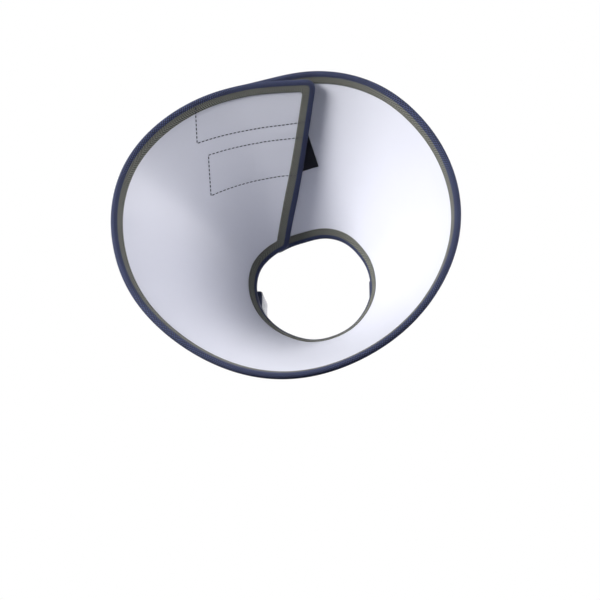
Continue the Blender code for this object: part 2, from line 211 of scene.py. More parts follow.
def softness(angle, slant):
    """The gentle waves of a soft wall, which die away where it lies double."""
    free = smoothstep(angle, 136.0, 178.0) * (1.0 - smoothstep(angle, 385.0, 425.0))
    turn = math.radians(angle)
    broad = math.sin(2.3 * turn + 9.0 * slant) + 0.5 * math.sin(4.1 * turn - 17.0 * slant)
    return WAVE * free * (broad + 0.35 * math.sin(9.0 * turn + 31.0 * slant))


def wall_point(angle, slant, height):
    """The point at a height above the middle of the wall, away from the axis."""
    lift = height + ramp(angle) + softness(angle, slant)
    slant -= FLAP_DRIFT * smoothstep(-angle, *FLAP_DRIFT_RAMP)
    slant -= OUTER_DRIFT * smoothstep(angle, *OUTER_DRIFT_RAMP)
    return TIP + generator(angle) * slant + outward(angle) * lift


def pattern(angle, slant, reference):
    """The flat point at an angle and a slant, with y along the wall at the reference."""
    turn = math.radians(angle - reference) * SIDE
    return Vector((slant * math.sin(turn), slant * math.cos(turn)))


def rolled(point, reference):
    """The angle and the slant of a flat point."""
    turn = math.atan2(point.x, point.y)
    return reference + math.degrees(turn) / SIDE, point.length


class Line:
    """An end edge on the flat cut, with the sheet on one side of it."""

    def __init__(self, rim_angle, neck_angle, reference, inward):
        self.reference = reference
        self.rim = pattern(rim_angle, RIM_SLANT, reference)
        neck = pattern(neck_angle, NECK_SLANT, reference)
        self.along = (self.rim - neck).normalized()
        self.inward = Vector((self.along.y, -self.along.x)) * inward

    def across(self, inset, height):
        """How far across the cut the line moved in by inset lies, at a height."""
        start = self.rim + self.inward * inset
        return start.x + self.along.x * (height - start.y) / self.along.y

    def meets(self, inset, radius):
        """Where the line moved in by inset meets a circle about the tip."""
        start = self.rim + self.inward * inset
        reach = start.dot(self.along)
        across = start - self.along * reach
        return across + self.along * math.sqrt(radius ** 2 - across.length_squared)

    def distance(self, point):
        """How far inside the line a flat point lies."""
        return (point - self.rim).dot(self.inward)


class Part:
    """One part of the wall between two fold lines, or a fold line and a finished end."""

    def __init__(self, low, high, end=None, end_side=0):
        self.low = low
        self.high = high
        self.end = end
        self.end_side = end_side
        self.reference = end.reference if end else (low + high) / 2

    def arc(self, slant, low, high):
        """Points round the wall."""
        count = math.ceil((self.high - self.low) / (END_COLUMN if self.end else COLUMN))
        return [(angle, slant) for angle in steps(low, high, count)]

    def side(self, inset, at_rim):
        """The rim's or the neck's line, moved in by inset, in order of angle."""
        slant = RIM_SLANT - inset if at_rim else NECK_SLANT + inset
        if self.end is None:
            return self.arc(slant, self.low, self.high)
        turn = max(CORNER_RADIUS - inset, LEAST_CORNER)
        middle_slant = slant - turn if at_rim else slant + turn
        centre = self.end.meets(inset + turn, middle_slant)
        start = centre.normalized() * (1.0 if at_rim else -1.0)
        sweep = start.angle_signed(-self.end.inward)
        corner = []
        for share in steps(0.0, 1.0, CORNER_STEPS):
            spoke = Matrix.Rotation(-sweep * share, 2) @ start
            corner.append(rolled(centre + spoke * turn, self.end.reference))
        if self.end_side > 0:
            return self.arc(slant, self.low, corner[0][0])[:-1] + corner
        return corner[::-1] + self.arc(slant, corner[0][0], self.high)[1:]

    def rows(self, inset):
        """Lines from the neck to the rim that share their columns."""
        neck = self.side(inset, at_rim=False)
        rim = self.side(inset, at_rim=True)
        lines = []
        for share in steps(0.0, 1.0, END_ROWS if self.end else WALL_ROWS):
            line = []
            for low, high in zip(neck, rim):
                if self.end is None:
                    place = (low[0], low[1] + (high[1] - low[1]) * share)
                else:
                    flat = pattern(*low, self.reference)
                    flat = flat.lerp(pattern(*high, self.reference), share)
                    place = rolled(flat, self.reference)
                line.append(place)
            lines.append(line)
        return lines

    def edge(self, inset):
        """The line round rim, end and neck, for a part with a finished end."""
        rim = self.side(inset, at_rim=True)
        neck = self.side(inset, at_rim=False)
        if self.end_side < 0:
            rim, neck = rim[::-1], neck[::-1]
        top = pattern(*rim[-1], self.reference)
        bottom = pattern(*neck[-1], self.reference)
        between = [rolled(top.lerp(bottom, share), self.reference)
                   for share in steps(0.0, 1.0, END_ROWS)[1:-1]]
        line = rim + between + neck[::-1]
        return line if self.end_side > 0 else line[::-1]


FLAP_EDGE = Line(FLAP_END_RIM, FLAP_END_NECK, STRIP_REFERENCE, inward=1.0)
OUTER_EDGE = Line(OUTER_END_RIM, OUTER_END_NECK, AROUND, inward=-1.0)
PARTS = {
    "inner_flap": Part(FLAP_END_RIM, FLAP_HINGE, FLAP_EDGE, -1),
    "base": Part(FLAP_HINGE, WING_HINGE),
    "wing": Part(WING_HINGE, END_HINGE),
    "outer_end": Part(END_HINGE, OUTER_END_RIM, OUTER_EDGE, 1),
}
BODIES = {"inner_flap": "inner_flap", "base": "collar_base", "wing": "wing",
          "outer_end": "outer_end"}

# How each part bends away from its neighbour: the two bodies, the fold line's angle,
# the way the part lies from it, and the width of wall that bends.
BENDS = {
    "inner_flap": ("collar_base", "inner_flap", FLAP_HINGE, -1.0, 0.022),
    "wing": ("collar_base", "wing", WING_HINGE, 1.0, 0.030),
    "outer_end": ("wing", "outer_end", END_HINGE, 1.0, 0.026),
}

# ---- Finishes ------------------------------------------------------------------------

class Amount:
    """A number that changes over a surface; arithmetic on it adds Math nodes."""

    def __init__(self, finish, socket):
        self.finish = finish
        self.socket = socket

    def maths(self, operation, *values, limit=False):
        settings = {"operation": operation, "use_clamp": limit}
        return self.finish.amount("ShaderNodeMath", settings, dict(enumerate(values)))

    def __add__(self, other):
        return self.maths("ADD", self, other)

    def __sub__(self, other):
        return self.maths("SUBTRACT", self, other)

    def __rsub__(self, other):
        return self.maths("SUBTRACT", other, self)

    def __mul__(self, other):
        return self.maths("MULTIPLY", self, other)

    def __truediv__(self, other):
        return self.maths("DIVIDE", self, other)

    __radd__ = __add__
    __rmul__ = __mul__

    def wave(self):
        """A sine of this many turns, from 0 to 1."""
        return self.maths("SINE", self * math.tau) * 0.5 + 0.5

    def size(self):
        return self.maths("ABSOLUTE", self)

    def limited(self):
        return self.maths("ADD", self, 0.0, limit=True)


class Finish:
    """A material under construction."""

    def __init__(self, name, roughness, **fixed):
        self.material = bpy.data.materials.new(name)
        self.material.use_nodes = True
        self.tree = self.material.node_tree
        self.shader = self.tree.nodes["Principled BSDF"]
        self.shader.inputs["Roughness"].default_value = roughness
        for socket, value in fixed.items():
            self.shader.inputs[socket.replace("_", " ")].default_value = value

    def node(self, kind, settings, values):
        """Any node: its settings first, then its sockets' values or links."""
        made = self.tree.nodes.new(kind)
        for setting, value in settings.items():
            setattr(made, setting, value)
        for socket, value in values.items():
            if isinstance(value, Amount):
                value = value.socket
            if isinstance(value, bpy.types.NodeSocket):
                self.tree.links.new(value, made.inputs[socket])
            else:
                made.inputs[socket].default_value = value
        return made

    def amount(self, kind, settings, values, output=0):
        return Amount(self, self.node(kind, settings, values).outputs[output])

    def flat(self):
        """The piece's flat places, metres: along and across."""
        places = self.node("ShaderNodeUVMap", {"uv_map": "flat"}, {}).outputs[0]
        parts = self.node("ShaderNodeSeparateXYZ", {}, {0: places})
        return places, Amount(self, parts.outputs[0]), Amount(self, parts.outputs[1])

    def noise(self, places, scale, detail=3.0, roughness=0.55):
        return self.amount("ShaderNodeTexNoise", {},
                           {"Vector": places, "Scale": scale, "Detail": detail,
                            "Roughness": roughness})

    def blend(self, share, first, second):
        """A colour between two colours."""
        made = self.node("ShaderNodeMix", {"data_type": "RGBA"}, {0: share})
        for socket, colour in ((6, first), (7, second)):
            if isinstance(colour, bpy.types.NodeSocket):
                self.tree.links.new(colour, made.inputs[socket])
            else:
                made.inputs[socket].default_value = (*colour, 1.0)
        return made.outputs[2]

    def done(self, colour, roughness, height, depth):
        """Links colour, roughness and bump; depth is the bump's full height, metres."""
        self.tree.links.new(colour, self.shader.inputs["Base Color"])
        if roughness is not None:
            self.tree.links.new(roughness.socket, self.shader.inputs["Roughness"])
        bump = self.node("ShaderNodeBump", {},
                         {"Strength": 1.0, "Distance": depth, "Height": height})
        self.tree.links.new(bump.outputs[0], self.shader.inputs["Normal"])
        return self.material


def weave(finish, along, across, pitch):
    """Plain weave: over and under threads, height from 0 to 1."""
    first = (along / pitch).wave()
    second = (across / pitch).wave()
    checker = ((along / pitch * 0.5).wave() - 0.5) * ((across / pitch * 0.5).wave() - 0.5)
    over = (checker * 40.0 + 0.5).limited()
    return first * over + second * (1.0 - over)


def liner_finish():
    """Smooth pale cloth with a wipe-clean face."""
    finish = Finish("wipe_clean_liner", 0.46, Sheen_Weight=0.12, Sheen_Roughness=0.4)
    places, along, across = finish.flat()
    broad = finish.noise(places, 9.0)
    fine = finish.noise(places, 520.0, 2.0)
    threads = weave(finish, along, across, 0.0009)
    shade = (broad * 0.65 + fine * 0.2 + (1.0 - threads) * 0.15).limited()
    colour = finish.blend(shade, (0.720, 0.730, 0.805), (0.655, 0.666, 0.748))
    rough = broad * 0.10 + fine * 0.10 + 0.36
    return finish.done(colour, rough, threads * 0.35 + fine * 0.65, 0.00009)


def shell_finish():
    """Navy woven cloth with a dull sheen."""
    finish = Finish("navy_shell", 0.78, Sheen_Weight=0.25, Sheen_Roughness=0.5)
    places, along, across = finish.flat()
    threads = weave(finish, along, across, 0.0011)
    broad = finish.noise(places, 14.0)
    slub = finish.noise(places, 420.0, 2.0)
    shade = (threads * 0.75 + slub * 0.35 + broad * 0.25 - 0.2).limited()
    colour = finish.blend(shade, (0.006, 0.009, 0.034), (0.028, 0.038, 0.115))
    return finish.done(colour, slub * 0.15 + 0.68, threads + slub * 0.3, 0.00022)


def foam_finish():
    """Pale closed-cell foam."""
    finish = Finish("foam", 0.95)
    places = finish.flat()[0]
    cells = finish.amount("ShaderNodeTexVoronoi", {}, {"Vector": places, "Scale": 900.0})
    colour = finish.blend(cells, (0.60, 0.58, 0.50), (0.78, 0.76, 0.68))
    return finish.done(colour, None, cells, 0.0002)


def binding_finish():
    """Navy twill tape: slanting ribs with lighter flecks along them."""
    finish = Finish("navy_binding_tape", 0.80, Sheen_Weight=0.08, Sheen_Roughness=0.45)
    places, along, across = finish.flat()
    ribs = ((along + across * 0.9) / 0.0027).wave()
    beads = ((along - across * 1.1) / 0.0027).wave()
    fray = finish.noise(places, 700.0, 2.0)
    broad = finish.noise(places, 45.0)
    bright = (ribs * beads).limited()
    shade = (bright * (fray * 0.9 + 0.5) * (broad * 0.8 + 0.6)).limited()
    colour = finish.blend(shade, (0.0015, 0.0025, 0.015), (0.085, 0.118, 0.300))
    return finish.done(colour, fray * 0.15 + 0.72, ribs * 0.8 + beads * 0.2, 0.0003)


def facing_finish():
    """Grey herringbone tape with a lighter line along its middle."""
    finish = Finish("grey_facing_tape", 0.85, Sheen_Weight=0.08, Sheen_Roughness=0.35)
    places, along, across = finish.flat()
    middle = across - FACING_WIDTH / 2
    ribs = ((along + middle.size() * 1.2) / 0.0026).wave()
    cords = (across / 0.00135).wave()
    fray = finish.noise(places, 650.0, 2.0)
    broad = finish.noise(places, 30.0)
    line = (1.0 - middle.size() / 0.0006).limited()
    shade = (ribs * 0.75 + cords * 0.1 + fray * 0.3 + broad * 0.2 - 0.25).limited()
    cloth_colour = finish.blend(shade, (0.016, 0.018, 0.016), (0.270, 0.275, 0.240))
    colour = finish.blend(line * 0.25, cloth_colour, (0.200, 0.180, 0.140))
    return finish.done(colour, fray * 0.12 + 0.78, ribs * 0.7 + cords * 0.4, 0.0003)


def hook_finish():
    """Woven hook tape: rows of small stiff hooks."""
    finish = Finish("hook_tape", 0.60)
    places, along, across = finish.flat()
    rows = (along / 0.0016).wave() * (across / 0.0013).wave()
    fray = finish.noise(places, 900.0, 2.0)
    shade = (rows * 0.8 + fray * 0.3).limited()
    colour = finish.blend(shade, (0.008, 0.009, 0.014), (0.060, 0.064, 0.080))
    return finish.done(colour, None, rows + fray * 0.3, 0.0007)


def loop_finish():
    """Brushed loop pile, nearly black."""
    finish = Finish("loop_pile", 0.98, Sheen_Weight=0.04, Sheen_Roughness=0.6)
    places = finish.flat()[0]
    pile = finish.noise(places, 1100.0, 4.0, 0.7)
    tufts = finish.noise(places, 260.0, 3.0)
    broad = finish.noise(places, 22.0)
    shade = (pile * 0.5 + tufts * 0.4 + broad * 0.3 - 0.25).limited()
    colour = finish.blend(shade, (0.0030, 0.0035, 0.008), (0.013, 0.014, 0.028))
    return finish.done(colour, None, pile * 0.5 + tufts * 0.5, 0.0006)


def thread_finish(name, dark, light):
    """Sewing thread, laid from twisted plies."""
    finish = Finish(name, 0.70, Sheen_Weight=0.05)
    places = finish.node("ShaderNodeTexCoord", {}, {}).outputs["Object"]
    parts = finish.node("ShaderNodeSeparateXYZ", {}, {0: places})
    x, y, z = (Amount(finish, socket) for socket in parts.outputs)
    plies = ((x + y * 0.8 + z) / 0.00055).wave()
    colour = finish.blend(plies, dark, light)
    return finish.done(colour, None, plies, 0.00008)


def webbing_finish():
    """Navy webbing: lengthwise ribs crossed by a coarse weft."""
    finish = Finish("navy_webbing", 0.78, Sheen_Weight=0.25, Sheen_Roughness=0.5)
    places, along, across = finish.flat()
    chevron = ((along + ((across / 0.005).wave() - 0.5) * 0.0035) / 0.0018).wave()
    cords = (across / 0.0011).wave()
    fray = finish.noise(places, 700.0, 2.0)
    shade = (chevron * 0.5 + cords * 0.35 + fray * 0.3 - 0.15).limited()
    colour = finish.blend(shade, (0.007, 0.010, 0.036), (0.034, 0.046, 0.130))
    return finish.done(colour, None, chevron * 0.5 + cords * 0.5, 0.0003)


LINER = liner_finish()
SHELL = shell_finish()
FOAM = foam_finish()
BINDING = binding_finish()
FACING = facing_finish()
HOOK = hook_finish()
LOOP = loop_finish()
NAVY_THREAD = thread_finish("navy_thread", (0.004, 0.005, 0.018), (0.012, 0.016, 0.045))
GREY_THREAD = thread_finish("grey_thread", (0.075, 0.078, 0.065), (0.16, 0.162, 0.140))
WEBBING = webbing_finish()

# ---- Building pieces -----------------------------------------------------------------

def add_piece(name, mesh, finish):
    """Links a new object and gives it its finish."""
    made = bpy.data.objects.new(name, mesh)
    made.data.materials.append(finish)
    bpy.context.scene.collection.objects.link(made)
    return made


def apply_modifiers(piece):
    """Applies a piece's modifiers in order and smooths its curved faces."""
    bpy.ops.object.select_all(action="DESELECT")
    piece.select_set(True)
    bpy.context.view_layer.objects.active = piece
    for modifier in list(piece.modifiers):
        bpy.ops.object.modifier_apply(modifier=modifier.name)
    piece.data.shade_smooth()
    piece.data.set_sharp_from_angle(angle=SMOOTH_ANGLE)


def cloth(name, points, flat, thickness, grow, finish):
    """A sheet through rows of points, given its thickness on the side of its normal.
    Its UV map holds its flat places, in metres."""
    mesh = bpy.data.meshes.new(name)
    grid = bmesh.new()
    places = grid.loops.layers.uv.new("flat")
    rows = [[grid.verts.new(point) for point in row] for row in points]
    for low in range(len(rows) - 1):
        for left in range(len(rows[0]) - 1):
            corners = ((low, left), (low, left + 1), (low + 1, left + 1), (low + 1, left))
            face = grid.faces.new([rows[row][column] for row, column in corners])
            for loop, (row, column) in zip(face.loops, corners):
                loop[places].uv = flat[row][column]
    grid.to_mesh(mesh)
    grid.free()
    made = add_piece(name, mesh, finish)
    solid = made.modifiers.new("thickness", "SOLIDIFY")
    solid.thickness = thickness
    solid.offset = grow
    solid.use_even_offset = True
    apply_modifiers(made)
    return made


def moves_with(piece, part_name):
    """Rides a piece of the base on the base's body; a piece of a part in BENDS is neither
    bent nor attached, only baked where it lies.
    """
    if part_name not in BENDS:
        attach(piece, BODIES[part_name])
        return
    fixed, moving, fold, way, width = BENDS[part_name]
    line = generator(fold).normalized()
    across = outward(fold).cross(line) * way
    towards = wall_point(fold + way, MIDDLE_SLANT, 0.0) - wall_point(fold, MIDDLE_SLANT, 0.0)
    if across.dot(towards) < 0:
        across = -across
    start = wall_point(fold, MIDDLE_SLANT, 0.0)
    start + across * width
    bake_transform(piece)


def place_piece(piece, part_name, slot, *nodes):
    """What every piece needs: how it moves, and the nodes it stands for; its slot is not
    used.
    """
    moves_with(piece, part_name)
    if nodes:
        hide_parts(*nodes)


def turns_of_wall(low, high):
    """How far the wall has turned, laid flat, at each whole degree from low to high."""
    turns = [0.0]
    for angle in range(low, high):
        turns.append(turns[-1] + generator(angle).angle(generator(angle + 1)))
    return turns


FIRST_DEGREE = 60
TURNS = turns_of_wall(FIRST_DEGREE, 520)


def unrolled(angle):
    """The wall's turn, laid flat, at any angle."""
    whole = int(angle - FIRST_DEGREE)
    share = angle - FIRST_DEGREE - whole
    return TURNS[whole] * (1.0 - share) + TURNS[whole + 1] * share


def laid_flat(angle, slant, middle):
    """A place on the collar once it lies flat, with y along the wall at the middle."""
    turn = unrolled(angle) - unrolled(middle)
    reach = slant * generator(angle).length
    return Vector((reach * math.sin(turn), reach * math.cos(turn)))


def flat_cut(lines):
    """The flat places of a part's lines, its width and length, and its area."""
    places = [[laid_flat(*place, PATTERN_MIDDLE) for place in line] for line in lines]
    middle = (lines[0][0][0] + lines[0][-1][0]) / 2
    level = [laid_flat(*place, middle) for line in lines for place in line]
    width = max(p.x for p in level) - min(p.x for p in level)
    length = max(p.y for p in level) - min(p.y for p in level)
    area = 0.0
    for low, high in zip(places, places[1:]):
        for a, b, c, d in zip(low, low[1:], high[1:], high):
            area += abs((c - a).cross(d - b)) / 2
    return places, width, length, area


def seam_dip(place, part, seams):
    """How far the nearest line of stitches pulls the cloth in at a place."""
    if not seams:
        return 0.0
    point = pattern(*place, part.reference)
    near = 1.0
    for first, last in seams:
        edge = last - first
        share = min(max((point - first).dot(edge) / edge.length_squared, 0.0), 1.0)
        near = min(near, (point - first - edge * share).length)
    return SEAM_DIP * math.exp(-(near / DIP_WIDTH) ** 2)


def wall_layers(part_name, part, seams):
    """The liner, the foam and the shell of one part of the wall."""
    lines = part.rows(SHEET_INSET)
    flat, width, length, area = flat_cut(lines)
    dips = [[seam_dip(place, part, seams) for place in line] for line in lines]
    layers = (
        ("liner", "_liner_cloth", LINER_IN, LINER_THICKNESS, LINER, 1.0),
        ("foam", "_foam_sheet", -FOAM_THICKNESS / 2, FOAM_THICKNESS, FOAM, 0.0),
        ("shell", "_shell_cloth", SHELL_IN, SHELL_THICKNESS, SHELL, -1.0),
    )
    for layer, ending, low, thickness, finish, pull in layers:
        points = [[wall_point(*place, low + pull * dip) for place, dip in zip(line, row)]
                  for line, row in zip(lines, dips)]
        made = cloth(part_name + ending, points, flat, thickness, 1.0, finish)
        place_piece(made, part_name, layer, part_name + "_" + layer)
        if layer == "foam":
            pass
        else:
            part_name + "_foam"


def fold_profile():
    """The navy tape's middle line: distance in from the edge, and height off the wall."""
    inner = FOLD_CENTRE - FOLD_RADIUS
    line = [(TAPE_MEETING, inner)]
    for turn in steps(-math.pi / 2, math.pi / 2, FOLD_STEPS):
        inset = SHEET_INSET - FOLD_RADIUS * math.cos(turn)
        line.append((inset, FOLD_CENTRE + FOLD_RADIUS * math.sin(turn)))
    outer = FOLD_CENTRE + FOLD_RADIUS
    line += [(inset, outer)
             for inset in steps(SHEET_INSET, BINDING_OUTER_LEG, FLAT_STEPS)[1:]]
    return line


def facing_profile():
    """The grey tape's face against the collar, from its free edge to the navy tape."""
    line = [(FACING_END - FACING_ROLL / 5, LINER_IN - FACING_EDGE_SINK),
            (FACING_END - FACING_ROLL, INNER_FACE)]
    flat_start = FACING_END - 2 * FACING_ROLL
    return line + [(inset, INNER_FACE)
                   for inset in steps(flat_start, TAPE_MEETING, FLAT_STEPS)]


def run_lengths(points):
    """Distances along a row of points, from its first."""
    total = [0.0]
    for first, last in zip(points, points[1:]):
        total.append(total[-1] + (last - first).length)
    return total


def tape(name, route, profile, thickness, grow, finish):
    """A tape that follows an edge; route gives the edge's line for an inset."""
    points = [[wall_point(*place, height) for place in route(inset)]
              for inset, height in profile]
    along = run_lengths(points[len(points) // 2])
    flat_profile = [Vector(place) for place in profile]
    across = run_lengths(flat_profile)
    flat = [[(run, width) for run in along] for width in across]
    return cloth(name, points, flat, thickness, grow, finish)


def along_route(route, distance, lengths):
    """The angle and slant at a distance along a route."""
    for index in range(1, len(route)):
        if lengths[index] >= distance:
            break
    span = lengths[index] - lengths[index - 1]
    share = min(max((distance - lengths[index - 1]) / span, 0.0), 1.0)
    return [a + (b - a) * share for a, b in zip(route[index - 1], route[index])]


def one_stitch():
    """The shape of every stitch: a small bead, a metre long, wide and high."""
    bpy.ops.object.select_all(action="DESELECT")
    bpy.ops.mesh.primitive_uv_sphere_add(segments=8, ring_count=5, radius=0.5,
                                         rotation=(0.0, math.pi / 2, 0.0))
    bpy.ops.object.transform_apply(location=False, rotation=True, scale=False)
    made = bpy.context.object
    mesh = made.data
    bpy.data.objects.remove(made)
    return mesh


STITCH_SHAPE = one_stitch()


def stitches(name, route, height, side, size, pitch, finish):
    """A line of stitches on the wall; height gives the cloth's face at a place."""
    length, width, thick = size
    level = [wall_point(*place, height(place)) for place in route]
    lengths = run_lengths(level)
    count = max(1, round(lengths[-1] / pitch))
    line = bmesh.new()
    for index in range(count):
        middle = (index + 0.5) * lengths[-1] / count
        ends = [along_route(route, middle + way * length / 2, lengths) for way in (-1, 1)]
        place = along_route(route, middle, lengths)
        first, last = (wall_point(*end, height(end)) for end in ends)
        up = outward(place[0]) * side
        along = (last - first).normalized()
        across = up.cross(along).normalized()
        up = along.cross(across)
        centre = wall_point(*place, height(place) + side * thick * STITCH_PROUD)
        turned = Matrix((along * length, across * width, up * thick)).transposed()
        lay = Matrix.Translation(centre) @ turned.to_4x4()
        before = len(line.verts)
        line.from_mesh(STITCH_SHAPE)
        line.verts.ensure_lookup_table()
        bmesh.ops.transform(line, matrix=lay, verts=line.verts[before:])
    mesh = bpy.data.meshes.new(name)
    line.to_mesh(mesh)
    line.free()
    mesh.shade_smooth()
    return add_piece(name, mesh, finish)


# ---- The wall and its tapes ----------------------------------------------------------

class Strip:
    """A straight strip on the cut, cut off along the rim's tape where it meets it."""

    def __init__(self, drop, near, far):
        self.top = RIM_SLANT - drop
        self.near = near
        self.far = far
        self.limit = RIM_SLANT - STRIP_MARGIN
        width = self.far(self.top) - self.near(self.top)
        self.columns = math.ceil(width / STRIP_STEP)

    def across(self, along, height, inset):
        near = self.near(height)
        return near + (self.far(height) - inset - near) * along

    def point(self, along, up, inset=0.0):
        """A point of the strip, its long edges and its far end moved in by inset."""
        bottom = self.top - STRIP_WIDTH + inset
        top = self.top - inset
        reach = self.across(along, top, inset)
        top = min(top, math.sqrt((self.limit - inset) ** 2 - reach ** 2))
        foot = Vector((self.across(along, bottom, inset), bottom))
        head = Vector((self.across(along, top, inset), top))
        return foot.lerp(head, up)

    def seam(self, with_top, past):
        """Its line of stitches, past gives how far it runs on over the end's tape."""
        inset = SEAM_INSET
        foot_near = self.point(0.0, 0.0, inset)
        foot_far = self.point(1.0, 0.0, inset)
        head_far = self.point(1.0, 1.0, inset)
        head_near = self.point(0.0, 1.0, inset)
        if with_top:
            line = [head_near + past(head_near), head_near, head_far, foot_far, foot_near,
                    foot_near + past(foot_near)]
        else:
            run = (head_far - foot_far).normalized()
            rim = RIM_SLANT - SEAM_RIM_INSET
            on = math.sqrt(rim ** 2 - head_far.length ** 2 + head_far.dot(run) ** 2)
            line = [head_far + run * (on - head_far.dot(run)), foot_far, foot_near,
                    foot_near + past(foot_near)]
        return line


def hook_shape(drop, end):
    """A hook strip on the flap, from beside its edge's tape to a slanted end."""
    top = RIM_SLANT - drop
    return Strip(drop, lambda height: FLAP_EDGE.across(STRIP_MARGIN, height),
                 lambda height: end + STRIP_END_SLANT * (top - height))


def loop_shape(drop):
    """A loop strip on the outer end, up to its edge's tape."""
    return Strip(drop, lambda height: LOOP_START,
                 lambda height: OUTER_EDGE.across(STRIP_MARGIN, height))


LOWER_STRIP_DROP = UPPER_STRIP_DROP + STRIP_WIDTH + STRIP_SPACING
LEVELS = (
    ("upper", UPPER_STRIP_DROP, UPPER_STRIP_END, False),
    ("lower", LOWER_STRIP_DROP, LOWER_STRIP_END, True),
)


def past_flap_edge(point):
    """From a seam's end, on across the end's tape."""
    return Vector((SEAM_END_INSET - FLAP_EDGE.distance(point), 0.0))


hooks, loops, seams = {}, {}, {}
for level, drop, hook_end, with_top in LEVELS:
    hooks[level] = hook_shape(drop, hook_end)
    loops[level] = loop_shape(drop)
    seams[level] = hooks[level].seam(with_top, past_flap_edge)

flap_seams = [pair for line in seams.values() for pair in zip(line, line[1:])]
for part_name, part in PARTS.items():
    wall_layers(part_name, part, flap_seams if part_name == "inner_flap" else [])


def facing_height(place):
    return FACING_FACE


def binding_height(place):
    return OUTER_FACE + TAPE_THICKNESS


def flap_height(place):
    """The flap's inner face: its tape's face near the edges, and its liner elsewhere."""
    point = pattern(*place, STRIP_REFERENCE)
    inside = min(FLAP_EDGE.distance(point), RIM_SLANT - place[1])
    share = smoothstep(inside, FACING_END, FACING_END + FACING_STEP)
    return FACING_FACE + (LINER_IN + SEAM_DIP - FACING_FACE) * share


def edge_trim(part_name, edge_name, route):
    """The navy and grey tapes along an edge, and the stitches that hold them."""
    label = part_name + edge_name
    binding = tape(label + "_binding_tape", route, fold_profile(), TAPE_THICKNESS, 0.0,
                   BINDING)
    place_piece(binding, part_name, "binding", label + "_binding")
    grey = tape(label + "_facing_tape", route, facing_profile(), FACING_THICKNESS, -1.0,
                FACING)
    place_piece(grey, part_name, "facing", label + "_facing")
    rows = (
        ("_facing_stitches", FACING_END - FACING_SEAM_INSET, facing_height, -1,
         EDGE_STITCH, EDGE_PITCH, GREY_THREAD),
        ("_binding_stitches", BINDING_OUTER_LEG - EDGE_SEAM_INSET, binding_height, 1,
         EDGE_STITCH, EDGE_PITCH, NAVY_THREAD),
    )
    for ending, inset, height, side, size, pitch, finish in rows:
        made = stitches(label + ending, route(inset), height, side, size, pitch, finish)
        place_piece(made, part_name, "thread")


for part_name, part in PARTS.items():
    if part.end:
        edge_trim(part_name, "", part.edge)
        continue
    for edge_name, at_rim in (("_rim", True), ("_neck", False)):
        def edge_line(inset, part=part, at_rim=at_rim):
            """The edge's line, in the direction that faces the tape the right way."""
            line = part.side(inset, at_rim)
            return line if at_rim else line[::-1]
        edge_trim(part_name, edge_name, edge_line)

# ---- Hook and loop tapes -------------------------------------------------------------

def strip_tape(name, shape, reference, face, grow, finish):
    """A straight strip laid on the wall."""
    places = [[shape.point(along, up) for along in steps(0.0, 1.0, shape.columns)]
              for up in steps(0.0, 1.0, STRIP_ROWS)]
    points = [[wall_point(*rolled(place, reference), face) for place in row]
              for row in places]
    return cloth(name, points, places, STRIP_THICKNESS, grow, finish)


def fine_route(line, reference):
    """Angles and slants along a line on the cut, a few millimetres apart."""
    route = []
    for first, last in zip(line, line[1:]):
        count = max(1, math.ceil((last - first).length / STRIP_STEP))
        route += [rolled(first.lerp(last, share), reference)
                  for share in steps(0.0, 1.0, count)[:-1]]
    return route + [rolled(line[-1], reference)]


def no_further(point):
    """A seam that stops where its strip does."""
    return Vector((0.0, 0.0))


for level, _, _, with_top in LEVELS:
    hook_name, loop_name = level + "_hook", level + "_loop"
    hook = strip_tape(hook_name + "_tape", hooks[level], STRIP_REFERENCE, OUTER_FACE,
                      1.0, HOOK)
    place_piece(hook, "inner_flap", "hook", hook_name + "_strip")
    loop = strip_tape(loop_name + "_tape", loops[level], AROUND, INNER_FACE, -1.0, LOOP)
    place_piece(loop, "outer_end", "loop", loop_name + "_strip")
    sewn = stitches(hook_name + "_stitches", fine_route(seams[level], STRIP_REFERENCE),
                    flap_height, -1, STITCH, STITCH_PITCH, NAVY_THREAD)
    place_piece(sewn, "inner_flap", "thread", hook_name + "_thread")
    loop_line = loops[level].seam(with_top, no_further)
    sewn = stitches(loop_name + "_stitches", fine_route(loop_line, AROUND),
                    lambda place: SHELL_OUT, 1, STITCH, STITCH_PITCH, NAVY_THREAD)
    place_piece(sewn, "outer_end", "thread", loop_name + "_thread")

# ---- Collar loops at the neck --------------------------------------------------------

def loop_outline(length, depth):
    """The middle line of a long round-ended loop, and back to its start."""
    radius = depth / 2
    points = []
    for centre, first in ((length - depth, -90.0), (0.0, 90.0)):
        for turn in steps(first, first + 180.0, ROUND_STEPS):
            spread = math.radians(turn)
            points.append(Vector((centre + radius * math.cos(spread),
                                  radius * math.sin(spread))))
    return points + points[:1]


